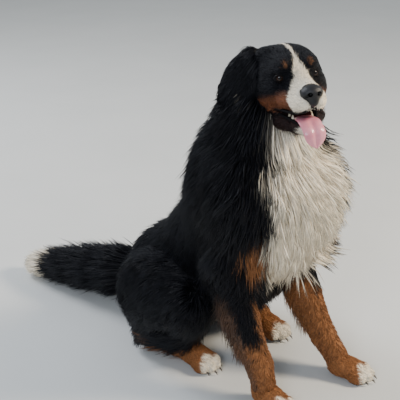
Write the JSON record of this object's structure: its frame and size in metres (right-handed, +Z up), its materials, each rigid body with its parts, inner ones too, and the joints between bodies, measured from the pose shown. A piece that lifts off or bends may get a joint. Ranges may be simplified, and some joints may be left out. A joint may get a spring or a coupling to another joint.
{
  "type": "seated bernese mountain dog model",
  "caption": "Life-size still model of a seated long-haired tricolour mountain dog, head turned and mouth open, tongue out, tail laid back on the floor.",
  "frame": {"origin": "middle of the flat under the rump that the dog sits on, on the floor", "axes": "+Z is up, -Y is the way the chest faces, +X is the dog's left side"},
  "size_m": [0.4502, 1.1453, 0.8808],
  "materials": {
    "coat_black": "long black hair",
    "coat_tan": "rust-coloured hair",
    "coat_white": "long cream-white hair",
    "nose_leather": "moist pebbled",
    "tongue": "moist",
    "eye": "wet gloss"
  },
  "bodies": {
    "root": {"head": "coat_black", "jaw": "coat_tan", "tongue": "tongue", "nose": "nose_leather", "eye_right": "eye", "eye_left": "eye", "ear_right": "coat_black", "ear_left": "coat_black", "neck": "coat_black", "bib": "coat_white", "chest": "coat_black", "loin": "coat_black", "rump": "coat_black", "tail": "coat_black", "tail_tip": "coat_white", "foreleg_right": "coat_tan", "foreleg_left": "coat_tan", "forepaw_right": "coat_tan", "forepaw_left": "coat_tan", "thigh_right": "coat_black", "thigh_left": "coat_black", "shank_right": "coat_tan", "shank_left": "coat_tan", "hindpaw_right": "coat_tan", "hindpaw_left": "coat_tan"}
  },
  "joints": []
}
